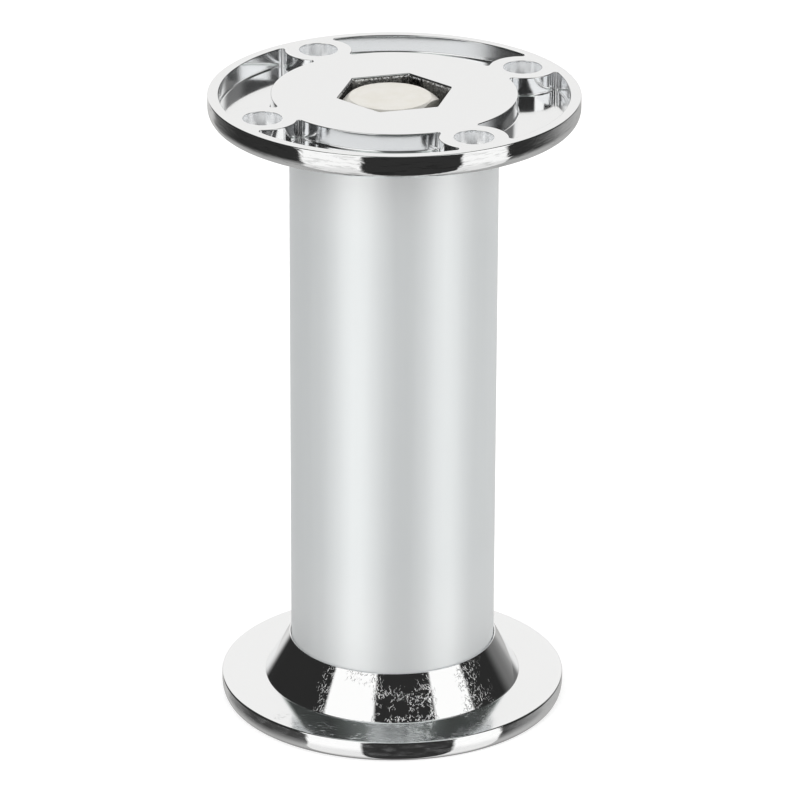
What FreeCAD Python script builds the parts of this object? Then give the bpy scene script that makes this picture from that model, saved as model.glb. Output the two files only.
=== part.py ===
import FreeCAD, Part

import math
import os

import Sketcher

# Fixed furniture leg: a cast mounting plate and a cast base, clamped on a tube by one long bolt.
# Frame: origin on the floor on the leg's axis, +Z up. All sizes are in millimetres.

DIMENSIONS = [
    # Overall
    ("leg_height", 100.0),
    # Tube
    ("tube_diameter", 32.0),
    ("tube_wall", 1.2),
    ("tube_edge_break", 0.15),
    # Fit of the castings in and around the tube
    ("spigot_clearance", 0.1),
    ("socket_clearance", 0.1),
    # Mounting plate
    ("plate_diameter", 56.8),
    ("plate_thickness", 3.8),
    ("plate_under_bevel", 0.8),
    ("plate_edge_break", 0.2),
    ("rim_width", 1.65),
    ("recess_width", 8.0),
    ("recess_depth", 2.8),
    ("recess_corner_radius", 0.45),
    ("screw_count", 4),
    ("screw_inset", 5.4),
    ("screw_hole_diameter", 6.0),
    ("screw_boss_diameter", 10.4),
    ("plate_spigot_length", 8.0),
    ("plate_spigot_wall", 2.5),
    ("pocket_flats", 15.6),
    ("pocket_depth", 5.8),
    ("pocket_floor", 3.5),
    # Base
    ("base_diameter", 54.0),
    ("flange_thickness", 3.3),
    ("base_top_break", 0.25),
    ("base_foot_break", 0.3),
    ("collar_foot_diameter", 40.2),
    ("collar_height", 6.65),
    ("collar_lip", 0.2),
    ("seat_height", 3.6),
    ("hollow_depth", 1.8),
    ("foot_rim_width", 2.6),
    ("base_spigot_wall", 2.2),
    ("web_thickness", 3.5),
    ("rib_count", 6),
    ("rib_width", 1.6),
    ("rib_setback", 0.4),
    # Bolt, washer and nut
    ("bolt_diameter", 8.0),
    ("bolt_hole_clearance", 1.0),
    ("bolt_tip_chamfer", 1.0),
    ("head_flats", 13.0),
    ("head_height", 5.3),
    ("head_face_diameter", 12.45),
    ("head_turn", -10.0),
    ("bolt_lean_side", 0.55),
    ("bolt_lean_front", 0.45),
    ("washer_diameter", 16.0),
    ("washer_thickness", 1.6),
    ("washer_clearance", 0.2),
    ("nut_flats", 13.0),
    ("nut_height", 6.8),
    ("nut_face_diameter", 12.4),
    ("thread_clearance", 0.05),
    ("thread_runout", 1.4),
    ("nut_cover", 4.2),
]

# Sizes worked out from the driving ones, each from cells above it.
DERIVED = [
    ("tube_bore", "tube_diameter - 2 * tube_wall"),
    ("plate_underside", "leg_height - plate_thickness"),
    ("recess_floor_level", "leg_height - recess_depth"),
    ("rim_inner_diameter", "plate_diameter - 2 * rim_width"),
    ("disc_diameter", "rim_inner_diameter - 2 * recess_width"),
    ("screw_circle_diameter", "plate_diameter - 2 * screw_inset"),
    ("plate_spigot_diameter", "tube_bore - 2 * spigot_clearance"),
    ("pocket_floor_level", "leg_height - pocket_depth"),
    ("bolt_hole_diameter", "bolt_diameter + 2 * bolt_hole_clearance"),
    ("socket_diameter", "tube_diameter + 2 * socket_clearance"),
    ("collar_top", "flange_thickness + collar_height"),
    ("base_spigot_diameter", "tube_bore - 2 * spigot_clearance"),
    ("well_diameter", "base_spigot_diameter - 2 * base_spigot_wall"),
    ("well_depth", "washer_thickness + nut_height + thread_runout + nut_cover"),
    ("base_spigot_top", "well_depth + web_thickness"),
    ("hollow_inner_diameter", "socket_diameter"),
    ("hollow_outer_diameter", "base_diameter - 2 * foot_rim_width"),
    ("nut_top", "well_depth - washer_thickness"),
    ("bolt_length", "pocket_floor_level - nut_cover"),
]


def make_sheet(doc):
    """One row for each size: its name in column A, its value or formula in column B."""
    sheet = doc.addObject("Spreadsheet::Sheet", "Sizes")
    for row, (name, value) in enumerate(DIMENSIONS + DERIVED, start=1):
        cell = "B%d" % row
        sheet.set("A%d" % row, name)
        sheet.set(cell, "=" + value if isinstance(value, str) else repr(value))
        sheet.setAlias(cell, name)
    doc.recompute()
    return sheet


def new_body(doc, name):
    body = doc.addObject("PartDesign::Body", name)
    body.Label = name
    return body


def new_sketch(body, name, role, height=None):
    """A sketch on one of the body's origin planes, raised by an expression where one is given."""
    sketch = body.newObject("Sketcher::SketchObject", name)
    plane = next(f for f in body.Origin.OriginFeatures if f.Role == role)
    sketch.AttachmentSupport = [(plane, "")]
    sketch.MapMode = "FlatFace"
    if height:
        sketch.setExpression("AttachmentOffset.Base.z", height)
    return sketch


def bind(sketch, index, name, expression):
    sketch.renameConstraint(index, name)
    sketch.setExpression("Constraints." + name, expression)


def value_of(sketch, expression):
    return float(sketch.evalExpression(expression))


def place_point(sketch, geometry, position, name, across, up):
    """Fixes one point of the geometry at two expressions measured from the sketch's origin."""
    for kind, expression in (("DistanceX", across), ("DistanceY", up)):
        value = value_of(sketch, expression)
        index = sketch.addConstraint(Sketcher.Constraint(kind, -1, 1, geometry, position, value))
        bind(sketch, index, name + kind[-1], expression)


def draw_polygon(sketch, corners):
    """A closed outline whose corners each stand at their own pair of expressions."""
    points = [FreeCAD.Vector(value_of(sketch, x), value_of(sketch, y), 0) for x, y in corners]
    count = len(points)
    for i, point in enumerate(points):
        sketch.addGeometry(Part.LineSegment(point, points[(i + 1) % count]), False)
    for i in range(count):
        sketch.addConstraint(Sketcher.Constraint("Coincident", i, 2, (i + 1) % count, 1))
    for i, (across, up) in enumerate(corners):
        place_point(sketch, i, 1, "corner%d" % i, across, up)


def draw_circle(sketch, diameter, name="ring", across=None, up=None):
    """A circle about the sketch's origin, or about the point that two expressions give."""
    centre = FreeCAD.Vector(0, 0, 0)
    if across:
        centre = FreeCAD.Vector(value_of(sketch, across), value_of(sketch, up), 0)
    circle = Part.Circle(centre, FreeCAD.Vector(0, 0, 1), value_of(sketch, diameter) / 2)
    geometry = sketch.addGeometry(circle, False)
    if across:
        place_point(sketch, geometry, 3, name, across, up)
    else:
        sketch.addConstraint(Sketcher.Constraint("Coincident", geometry, 3, -1, 1))
    radius = value_of(sketch, diameter) / 2
    index = sketch.addConstraint(Sketcher.Constraint("Radius", geometry, radius))
    bind(sketch, index, name + "Radius", "(%s) / 2" % diameter)
    return geometry


def draw_hexagon(sketch, flats):
    """A hexagon with two flats square to the sketch's X axis."""
    half = "(%s) / 2" % flats
    corner = "(%s) / 2 * tan(30deg)" % flats
    tip = "(%s) / 2 / cos(30deg)" % flats
    draw_polygon(sketch, [
        (half, "-" + corner), (half, corner), ("0", tip),
        ("-" + half, corner), ("-" + half, "-" + corner), ("0", "-" + tip),
    ])


def add_feature(body, kind, name, sketch, **settings):
    feature = body.newObject("PartDesign::" + kind, name)
    feature.Profile = sketch
    for key, value in settings.items():
        if isinstance(value, str) and value.startswith("Sizes."):
            feature.setExpression(key, value)
        else:
            setattr(feature, key, value)
    sketch.Visibility = False
    return feature


def spin(body, kind, name, sketch):
    """A full turn of the sketch's outline about its vertical axis."""
    return add_feature(body, kind, name, sketch, ReferenceAxis=(sketch, ["V_Axis"]), Angle=360.0)


def repeat_round(body, name, feature, count):
    pattern = body.newObject("PartDesign::PolarPattern", name)
    pattern.Originals = [feature]
    pattern.Axis = (feature.Profile[0], ["N_Axis"])
    pattern.Angle = 360.0
    pattern.setExpression("Occurrences", count)
    body.Tip = pattern
    return pattern


def round_edges(body, name, kind, size, wanted):
    """A fillet or chamfer on every edge of the tip shape that the test picks out."""
    body.Document.recompute()
    base = body.Tip
    edges = base.Shape.Edges
    names = ["Edge%d" % (i + 1) for i, edge in enumerate(edges) if wanted(edge)]
    if not names:
        raise RuntimeError(name + ": no edge matches")
    feature = body.newObject("PartDesign::" + kind, name)
    feature.Base = (base, names)
    feature.setExpression("Radius" if kind == "Fillet" else "Size", size)
    body.Document.recompute()
    return feature


def near(a, b, tolerance=0.001):
    return abs(a - b) < tolerance


def is_ring(edge, diameter, level):
    """True for a full circle about the Z axis with this diameter at this height."""
    curve = edge.Curve
    if not isinstance(curve, Part.Circle) or not edge.isClosed():
        return False
    centre = curve.Center
    on_axis = near(centre.x, 0) and near(centre.y, 0)
    return on_axis and near(2 * curve.Radius, diameter) and near(centre.z, level)


def spans(edge, low, high):
    """True for an upright straight edge between two heights."""
    levels = sorted(vertex.Z for vertex in edge.Vertexes)
    straight = isinstance(edge.Curve, (Part.Line, Part.LineSegment))
    return straight and len(levels) == 2 and near(levels[0], low) and near(levels[1], high)


def build_plate(doc, size):
    body = new_body(doc, "mounting_plate")
    outline = new_sketch(body, "plate_outline", "XZ_Plane")
    top = "Sizes.leg_height"
    under = "Sizes.plate_underside"
    spigot_end = "Sizes.plate_underside - Sizes.plate_spigot_length"
    hub_end = "Sizes.pocket_floor_level - Sizes.pocket_floor"
    hole = "Sizes.bolt_hole_diameter / 2"
    spigot = "Sizes.plate_spigot_diameter / 2"
    bore = "Sizes.plate_spigot_diameter / 2 - Sizes.plate_spigot_wall"
    edge = "Sizes.plate_diameter / 2"
    draw_polygon(outline, [
        (hole, top), (edge, top), (edge, under), (spigot, under),
        (spigot, spigot_end), (bore, spigot_end), (bore, hub_end), (hole, hub_end),
    ])
    spin(body, "Revolution", "plate_blank", outline)

    # The sunk sector between two screw bosses: two arcs about the axis, two round the bosses.
    sector = new_sketch(body, "recess_outline", "XY_Plane", top)
    draw_sector(sector, size)
    recess = add_feature(body, "Pocket", "recess", sector, Length="Sizes.recess_depth")
    repeat_round(body, "recesses", recess, "Sizes.screw_count")

    hexagon = new_sketch(body, "pocket_outline", "XY_Plane", top)
    draw_hexagon(hexagon, "Sizes.pocket_flats")
    add_feature(body, "Pocket", "head_pocket", hexagon, Length="Sizes.pocket_depth")

    circle = new_sketch(body, "screw_hole_outline", "XY_Plane", top)
    reach = "Sizes.screw_circle_diameter / 2"
    half_step = "180deg / Sizes.screw_count"
    draw_circle(circle, "Sizes.screw_hole_diameter", "hole",
                "%s * cos(%s)" % (reach, half_step), "%s * sin(%s)" % (reach, half_step))
    screw_hole = add_feature(body, "Pocket", "screw_hole", circle, Length="Sizes.plate_thickness")
    repeat_round(body, "screw_holes", screw_hole, "Sizes.screw_count")

    floor = size("recess_floor_level")
    height = size("leg_height")
    round_edges(body, "recess_corners", "Fillet", "Sizes.recess_corner_radius",
                lambda e: spans(e, floor, height))
    round_edges(body, "under_edge", "Chamfer", "Sizes.plate_under_bevel",
                lambda e: is_ring(e, size("plate_diameter"), size("plate_underside")))
    round_edges(body, "top_edge", "Chamfer", "Sizes.plate_edge_break",
                lambda e: is_ring(e, size("plate_diameter"), height))
    return body


def draw_sector(sketch, size):
    """Four arcs: the rim's inner wall, a boss, the disc's wall and the next boss."""
    half_step = math.pi / size("screw_count")
    reach = size("screw_circle_diameter") / 2
    boss = size("screw_boss_diameter") / 2
    normal = FreeCAD.Vector(0, 0, 1)
    origin = FreeCAD.Vector(0, 0, 0)

    def meeting_angle(radius):
        """Angle about the boss's centre line at which a ring of this radius meets the boss."""
        return math.acos((radius ** 2 + reach ** 2 - boss ** 2) / (2 * radius * reach))

    def on_ring(radius, angle):
        return FreeCAD.Vector(radius * math.cos(angle), radius * math.sin(angle), 0)

    outer = size("rim_inner_diameter") / 2
    inner = size("disc_diameter") / 2
    outer_end = half_step - meeting_angle(outer)
    inner_end = half_step - meeting_angle(inner)

    def ring_arc(radius, end):
        circle = Part.Circle(origin, normal, radius)
        return sketch.addGeometry(Part.ArcOfCircle(circle, -end, end), False)

    def boss_arc(side):
        centre = on_ring(reach, side * half_step)
        inward = on_ring(inner, side * inner_end) - centre
        outward = on_ring(outer, side * outer_end) - centre
        start, end = (inward, outward) if side < 0 else (outward, inward)
        first = math.atan2(start.y, start.x)
        last = math.atan2(end.y, end.x)
        turn = (first - last) % (2 * math.pi)
        circle = Part.Circle(centre, normal, boss)
        return sketch.addGeometry(Part.ArcOfCircle(circle, last, last + turn), False)

    rim = ring_arc(outer, outer_end)
    upper = boss_arc(1)
    disc = ring_arc(inner, inner_end)
    lower = boss_arc(-1)

    for arc in (rim, disc):
        sketch.addConstraint(Sketcher.Constraint("Coincident", arc, 3, -1, 1))
    across = "Sizes.screw_circle_diameter / 2 * cos(180deg / Sizes.screw_count)"
    up = "Sizes.screw_circle_diameter / 2 * sin(180deg / Sizes.screw_count)"
    place_point(sketch, upper, 3, "upperBoss", across, up)
    place_point(sketch, lower, 3, "lowerBoss", across, "-" + up)
    radii = (
        (rim, "rimWall", "Sizes.rim_inner_diameter"),
        (upper, "upperWall", "Sizes.screw_boss_diameter"),
        (disc, "discWall", "Sizes.disc_diameter"),
        (lower, "lowerWall", "Sizes.screw_boss_diameter"),
    )
    for arc, name, diameter in radii:
        value = value_of(sketch, diameter) / 2
        index = sketch.addConstraint(Sketcher.Constraint("Radius", arc, value))
        bind(sketch, index, name, diameter + " / 2")
    join_nearest_ends(sketch, (rim, upper, disc, lower))


def join_nearest_ends(sketch, ring):
    """Closes a ring of arcs by tying each arc's end to the point of the next that it meets."""
    for i, current in enumerate(ring):
        following = ring[(i + 1) % len(ring)]
        pairs = [(a, b) for a in (1, 2) for b in (1, 2)]
        a, b = min(pairs, key=lambda pair: sketch.getPoint(current, pair[0]).distanceToPoint(
            sketch.getPoint(following, pair[1])))
        sketch.addConstraint(Sketcher.Constraint("Coincident", current, a, following, b))


def build_tube(doc, size):
    body = new_body(doc, "tube")
    ring = new_sketch(body, "tube_section", "XY_Plane", "Sizes.seat_height")
    draw_circle(ring, "Sizes.tube_diameter", "outside")
    draw_circle(ring, "Sizes.tube_bore", "bore")
    add_feature(body, "Pad", "tube_wall", ring, Length="Sizes.plate_underside - Sizes.seat_height")
    ends = (size("seat_height"), size("plate_underside"))
    round_edges(body, "tube_ends", "Chamfer", "Sizes.tube_edge_break",
                lambda e: any(is_ring(e, size("tube_diameter"), level) for level in ends))
    return body


def build_base(doc, size):
    body = new_body(doc, "base")
    outline = new_sketch(body, "base_outline", "XZ_Plane")
    hole = "Sizes.bolt_hole_diameter / 2"
    well = "Sizes.well_diameter / 2"
    hollow_in = "Sizes.hollow_inner_diameter / 2"
    hollow_out = "Sizes.hollow_outer_diameter / 2"
    hollow_top = "Sizes.hollow_depth"
    edge = "Sizes.base_diameter / 2"
    flange_top = "Sizes.flange_thickness"
    collar_foot = "Sizes.collar_foot_diameter / 2"
    collar_top = "Sizes.collar_top"
    socket = "Sizes.socket_diameter / 2"
    lip = "Sizes.socket_diameter / 2 + Sizes.collar_lip"
    seat = "Sizes.seat_height"
    spigot = "Sizes.base_spigot_diameter / 2"
    spigot_top = "Sizes.base_spigot_top"
    web = "Sizes.well_depth"
    draw_polygon(outline, [
        (well, "0"), (hollow_in, "0"), (hollow_in, hollow_top), (hollow_out, hollow_top),
        (hollow_out, "0"), (edge, "0"), (edge, flange_top), (collar_foot, flange_top),
        (lip, collar_top), (socket, collar_top), (socket, seat), (spigot, seat),
        (spigot, spigot_top), (hole, spigot_top), (hole, web), (well, web),
    ])
    spin(body, "Revolution", "base_casting", outline)

    # Radial ribs across the hollow, each let a little into the walls at its two ends.
    rib = new_sketch(body, "rib_outline", "XY_Plane", "Sizes.rib_setback")
    start = "Sizes.hollow_inner_diameter / 2 - Sizes.foot_rim_width / 4"
    end = "Sizes.hollow_outer_diameter / 2 + Sizes.foot_rim_width / 4"
    half = "Sizes.rib_width / 2"
    draw_polygon(rib, [(start, "-" + half), (end, "-" + half), (end, half), (start, half)])
    wall = add_feature(body, "Pad", "rib", rib, Length="Sizes.hollow_depth - Sizes.rib_setback")
    repeat_round(body, "ribs", wall, "Sizes.rib_count")

    round_edges(body, "flange_top_edge", "Chamfer", "Sizes.base_top_break",
                lambda e: is_ring(e, size("base_diameter"), size("flange_thickness")))
    round_edges(body, "flange_foot_edge", "Chamfer", "Sizes.base_foot_break",
                lambda e: is_ring(e, size("base_diameter"), 0.0))
    return body


def bevel_corners(body, name, flats, face_diameter, level, direction):
    """Turns the six corners of a hexagon down to a round face, at 30 degrees to that face."""
    cutter = new_sketch(body, name + "_outline", "XZ_Plane")
    inner = "%s / 2" % face_diameter
    outer = "%s" % flats
    drop = "(%s - %s / 2) * tan(30deg)" % (flats, face_diameter)
    low = "%s - %s" % (level, drop) if direction > 0 else "%s + %s" % (level, drop)
    draw_polygon(cutter, [(inner, level), (outer, level), (outer, low)])
    return spin(body, "Groove", name, cutter)


def lean(body):
    """Stands a fastener off the leg's axis, to one side of its clearance holes."""
    body.setExpression("Placement.Base.x", "-Sizes.bolt_lean_side")
    body.setExpression("Placement.Base.y", "-Sizes.bolt_lean_front")


def build_bolt(doc, size):
    body = new_body(doc, "tie_bolt")
    seat = "Sizes.pocket_floor_level"
    hexagon = new_sketch(body, "head_outline", "XY_Plane", seat)
    hexagon.setExpression("AttachmentOffset.Rotation.Angle", "Sizes.head_turn")
    draw_hexagon(hexagon, "Sizes.head_flats")
    add_feature(body, "Pad", "head", hexagon, Length="Sizes.head_height")
    bevel_corners(body, "head_bevel", "Sizes.head_flats", "Sizes.head_face_diameter",
                  seat + " + Sizes.head_height", 1)
    circle = new_sketch(body, "shank_outline", "XY_Plane", seat)
    draw_circle(circle, "Sizes.bolt_diameter", "shank")
    add_feature(body, "Pad", "shank", circle, Length="Sizes.bolt_length", Reversed=True)
    round_edges(body, "tip_chamfer", "Chamfer", "Sizes.bolt_tip_chamfer",
                lambda e: is_ring(e, size("bolt_diameter"), size("nut_cover")))
    lean(body)
    return body


def build_washer(doc, size):
    body = new_body(doc, "washer")
    ring = new_sketch(body, "washer_outline", "XY_Plane", "Sizes.nut_top")
    draw_circle(ring, "Sizes.washer_diameter", "outside")
    draw_circle(ring, "Sizes.bolt_diameter + 2 * Sizes.washer_clearance", "bore")
    add_feature(body, "Pad", "washer_disc", ring, Length="Sizes.washer_thickness")
    lean(body)
    return body


def build_nut(doc, size):
    body = new_body(doc, "hex_nut")
    low = "Sizes.nut_top - Sizes.nut_height"
    hexagon = new_sketch(body, "nut_outline", "XY_Plane", low)
    draw_hexagon(hexagon, "Sizes.nut_flats")
    draw_circle(hexagon, "Sizes.bolt_diameter + 2 * Sizes.thread_clearance", "thread")
    add_feature(body, "Pad", "nut_block", hexagon, Length="Sizes.nut_height")
    bevel_corners(body, "lower_bevel", "Sizes.nut_flats", "Sizes.nut_face_diameter", low, -1)
    bevel_corners(body, "upper_bevel", "Sizes.nut_flats", "Sizes.nut_face_diameter",
                  "Sizes.nut_top", 1)
    lean(body)
    return body


def check_document(doc, bodies):
    for thing in doc.Objects:
        if "Invalid" in thing.State or "Error" in thing.State:
            raise RuntimeError("%s did not compute: %s" % (thing.Name, thing.State))
    for body in bodies:
        shape = body.Shape
        if shape.isNull() or not shape.isValid() or len(shape.Solids) != 1:
            raise RuntimeError("%s is not one valid solid" % body.Label)


def main():
    doc = FreeCAD.newDocument("furniture_leg")
    sheet = make_sheet(doc)

    def size(name):
        return float(sheet.get(name))

    makers = (build_plate, build_tube, build_base, build_bolt, build_washer, build_nut)
    bodies = [make(doc, size) for make in makers]
    doc.recompute()
    check_document(doc, bodies)
    os.makedirs("parts", exist_ok=True)
    for body in bodies:
        body.Shape.exportStep("parts/%s.step" % body.Label)
        print("%-16s %9.1f mm3" % (body.Label, body.Shape.Volume))


main()
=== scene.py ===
import math

import bpy
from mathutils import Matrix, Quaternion, Vector, geometry


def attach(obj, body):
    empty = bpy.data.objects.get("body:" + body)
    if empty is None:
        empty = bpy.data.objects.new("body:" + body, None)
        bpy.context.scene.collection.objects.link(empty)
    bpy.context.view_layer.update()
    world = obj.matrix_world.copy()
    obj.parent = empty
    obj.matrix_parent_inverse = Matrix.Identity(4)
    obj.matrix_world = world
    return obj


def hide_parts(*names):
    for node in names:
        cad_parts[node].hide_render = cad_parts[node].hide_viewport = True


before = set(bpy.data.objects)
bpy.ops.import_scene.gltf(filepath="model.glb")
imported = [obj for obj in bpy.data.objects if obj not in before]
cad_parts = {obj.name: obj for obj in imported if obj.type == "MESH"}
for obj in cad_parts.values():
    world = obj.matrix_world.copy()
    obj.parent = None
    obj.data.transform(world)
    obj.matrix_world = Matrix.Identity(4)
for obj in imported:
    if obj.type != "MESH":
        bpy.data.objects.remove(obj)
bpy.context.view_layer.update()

# Sizes in millimetres, as the castings are made; the scene itself is in metres.
MM = 0.001
LEG_HEIGHT = 100.0
TUBE_RADIUS = 16.0
TUBE_BORE_RADIUS = 14.8
TUBE_END_ROUND = 0.15
SEAT_HEIGHT = 3.6

PLATE_RADIUS = 28.4
PLATE_THICKNESS = 3.8
PLATE_CURVE_DEPTH = 1.5
PLATE_CURVE_RISE = 1.9
PLATE_EDGE_WEAR = 0.192
RIM_INNER_RADIUS = 26.75
DISC_RADIUS = 18.75
RECESS_DEPTH = 2.8
RECESS_CORNER_RADIUS = 0.45
RECESS_FLOOR_RADIUS = 0.3
RECESS_DRAFT = 0.9
SCREW_CIRCLE_RADIUS = 23.0
SCREW_HOLE_RADIUS = 3.0
SCREW_BOSS_RADIUS = 5.2
SCREW_HOLE_WEAR = 0.06
SCREW_COUNT = 4
PLATE_SPIGOT_RADIUS = 14.7
PLATE_SPIGOT_BORE = 12.2
PLATE_SPIGOT_LENGTH = 8.0
PLATE_SPIGOT_ROUND = 0.3
PLATE_SPIGOT_BORE_ROUND = 0.2
PLATE_HUB_ROUND = 0.3
POCKET_FLATS = 15.6
POCKET_CORNER_RADIUS = 0.3
POCKET_DEPTH = 5.8
POCKET_FLOOR = 3.5
POCKET_DRAFT = 0.5
POCKET_EDGE_WEAR = 0.24
BOLT_HOLE_RADIUS = 5.0

BASE_RADIUS = 27.0
FLANGE_THICKNESS = 3.3
COLLAR_FOOT_RADIUS = 20.1
COLLAR_TOP = 9.95
COLLAR_LIP_RADIUS = 16.3
SOCKET_RADIUS = 16.1
FOOT_CURVE_DEPTH = 0.85
FOOT_CURVE_RISE = 2.1
HOLLOW_RADIUS = 24.4
HOLLOW_DEPTH = 1.8
WELL_RADIUS = 12.5
WELL_DEPTH = 14.0
BASE_SPIGOT_TOP = 17.5
FOOT_ROUND = 0.3
HOLLOW_ROUND = 0.2
FLANGE_ROUND = 0.25
COLLAR_FOOT_ROUND = 0.3
COLLAR_LIP_ROUND = 0.08
SOCKET_LIP_ROUND = 0.05
BASE_SPIGOT_ROUND = 0.4
BOLT_HOLE_ROUND = 0.2
WELL_ROUND = 0.4
RIB_COUNT = 6
RIB_WIDTH = 1.6
RIB_SETBACK = 0.4
RIB_SINK = 0.4
RIB_ROUND = 0.3

BOLT_RADIUS = 4.0
BOLT_END = 4.2
BOLT_TIP_BEVEL = 1.0
THREAD_PITCH = 1.25
THREAD_DEPTH = 0.68
THREAD_TOP = 30.0
# The thread's section: how steep its flanks are, and the share of the pitch that stays flat.
THREAD_FLANK = 1.3
THREAD_FLAT = 0.15
HEXAGON_BEVEL = 30.0
HEAD_FLATS = 13.0
HEAD_HEIGHT = 5.3
HEAD_FACE_RADIUS = 6.225
HEAD_TURN = -10.0
BOLT_LEAN = (-0.55, -0.45)
WASHER_RADIUS = 8.0
WASHER_BORE = 4.2
WASHER_THICKNESS = 1.6
WASHER_BORE_ROUND = 0.15
WASHER_EDGE_ROUND = 0.2
NUT_FLATS = 13.0
NUT_HEIGHT = 6.8
NUT_FACE_RADIUS = 6.2
NUT_BORE_RADIUS = 4.05
NUT_CHAMFER = 0.5

EDGE_WEAR = 0.12

# Into how many steps the curves are cut.
ROUND_STEPS = 5
TURN_STEPS = 288
WASHER_STEPS = 144
HOLE_STEPS = 72
HOLE_LIP_STEPS = 3
HEXAGON_STEPS = 96
THREAD_STEPS_PER_TURN = 16
PLATE_CURVE_STEPS = 10
FOOT_CURVE_STEPS = 12
RECESS_CORNER_STEPS = 6
RECESS_BOSS_STEPS = 28
RECESS_RIM_STEPS = 56
RECESS_DISC_STEPS = 40
POCKET_CORNER_STEPS = 4
# Points nearer than this, in millimetres, are one when a flat region is filled.
MERGE_DISTANCE = 1e-7

# The camera, from the perspective of the photograph.
CAMERA_AZIMUTH = 14.05
CAMERA_ELEVATION = 22.90
CAMERA_DISTANCE = 808.5
CAMERA_AIM_HEIGHT = 49.35
CAMERA_ROLL = 0.21
CAMERA_FOCAL_PX = 5201.0
FRAME_PX = 800
SENSOR_MM = 36.0
CENTRE_OFFSET_PX = 6.75

UP = Vector((0, 0, 1))
DOWN = Vector((0, 0, -1))


def toward(angle):
    """The unit direction at an angle in a plan or a section."""
    return Vector((math.cos(angle), math.sin(angle)))


def right_of(way):
    """The direction square to a section's way, out of the solid on its left."""
    return Vector((way.y, -way.x))


def arc_points(centre, radius, start, end, steps):
    """Points and outward directions along an arc, both ends included; angles in radians."""
    out = []
    for i in range(steps + 1):
        way = toward(start + (end - start) * i / steps)
        out.append((Vector(centre) + way * radius, way))
    return out


def short_arc(centre, radius, start, end, steps):
    """The same for the shorter way round from one angle to another."""
    turn = (end - start + math.pi) % (2 * math.pi) - math.pi
    return arc_points(centre, radius, start, start + turn, steps)


def rounded_profile(corners, closed=True):
    """Stations along a section with rounded corners.

    Each corner is (across, up, radius). A station is (point, normal before, normal after), and a
    sharp corner is one station with two normals. The section runs with the solid on its left.
    """
    count = len(corners)
    stations = []
    for i, (x, y, radius) in enumerate(corners):
        here = Vector((x, y))
        before = (here - Vector(corners[i - 1][:2])).normalized()
        after = (Vector(corners[(i + 1) % count][:2]) - here).normalized()
        if not closed and i == 0:
            before = after
        if not closed and i == count - 1:
            after = before
        side_before = right_of(before)
        if radius <= 0:
            stations.append((here, side_before, right_of(after)))
            continue
        turn = before.x * after.y - before.y * after.x
        half = math.acos(max(-1.0, min(1.0, before.dot(after)))) / 2
        start = here - before * radius * math.tan(half)
        sense = 1 if turn > 0 else -1
        centre = start - side_before * radius * sense
        first = math.atan2(side_before.y * sense, side_before.x * sense)
        last = first + 2 * half * sense
        for point, way in arc_points(centre, radius, first, last, ROUND_STEPS):
            normal = way * sense
            stations.append((point, normal, normal))
    return stations


class Shell:
    """A mesh gathered ring by ring, with the true surface normal kept at every face corner."""

    def __init__(self):
        self.points = []
        self.faces = []
        self.normals = []

    def ring(self, points):
        """Adds the points of a ring; returns their numbers."""
        start = len(self.points)
        self.points.extend(points)
        return list(range(start, start + len(points)))

    def face(self, corners, normals):
        """Adds a face, turned so that it looks the way its normals do."""
        a, b, c = (self.points[corners[i]] for i in (0, 1, 2))
        if (b - a).cross(c - a).dot(normals[0] + normals[-1]) < 0:
            corners = corners[::-1]
            normals = normals[::-1]
        self.faces.append(corners)
        self.normals.extend(normals)

    def band(self, lower, upper, lower_normals, upper_normals):
        """Joins two rings with as many points."""
        count = len(lower)
        for i in range(count):
            j = (i + 1) % count
            self.face([lower[i], lower[j], upper[j], upper[i]],
                      [lower_normals[i], lower_normals[j], upper_normals[j], upper_normals[i]])

    def sweep(self, outline, stations, closed=False):
        """Carries a plan outline along a section; returns the first and the last ring."""
        rings = []
        for point, before, after in stations:
            plan = outline(point.x)
            ring = self.ring([Vector((p.x, p.y, point.y)) for p, n in plan])
            normals = [[Vector((n.x * side.x, n.y * side.x, side.y)) for p, n in plan]
                       for side in (before, after)]
            rings.append((ring, *normals))
        pairs = list(zip(rings, rings[1:]))
        if closed:
            pairs.append((rings[-1], rings[0]))
        for (low, _, low_normals), (high, high_normals, _) in pairs:
            self.band(low, high, low_normals, high_normals)
        return rings[0][0], rings[-1][0]

    def fill(self, outer, holes, normal):
        """A flat region between one outer ring and any number of holes."""
        rings = [outer] + holes
        flat = []
        edges = []
        back = []
        for ring in rings:
            start = len(flat)
            flat.extend(self.points[i].xy for i in ring)
            back.extend(ring)
            edges.extend((start + i, start + (i + 1) % len(ring)) for i in range(len(ring)))
        result = geometry.delaunay_2d_cdt(flat, edges, [], 0, MERGE_DISTANCE)
        triangles, sources = result[2], result[3]
        hole_shapes = [[self.points[i].xy for i in ring] for ring in holes]
        rim = [self.points[i].xy for i in outer]
        for triangle in triangles:
            corners = [back[sources[i][0]] for i in triangle]
            middle = sum((self.points[i].xy for i in corners), Vector((0, 0))) / 3
            if inside(middle, rim) and not any(inside(middle, hole) for hole in hole_shapes):
                self.face(corners, [normal] * 3)

    def shift(self, move):
        """Moves the whole mesh sideways."""
        offset = Vector((*move, 0))
        self.points = [p + offset for p in self.points]

    def build(self, name, material, node):
        """Makes the object that stands in for one CAD node."""
        mesh = bpy.data.meshes.new(name)
        mesh.from_pydata([p * MM for p in self.points], [], self.faces)
        mesh.polygons.foreach_set("use_smooth", [True] * len(mesh.polygons))
        mesh.normals_split_custom_set([n.normalized() for n in self.normals])
        mesh.materials.append(material)
        piece = add_object(name, mesh)
        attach(piece, "root")
        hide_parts(node)
        return piece


def add_object(name, data):
    """Puts a new object into the scene."""
    made = bpy.data.objects.new(name, data)
    bpy.context.scene.collection.objects.link(made)
    return made


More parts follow.
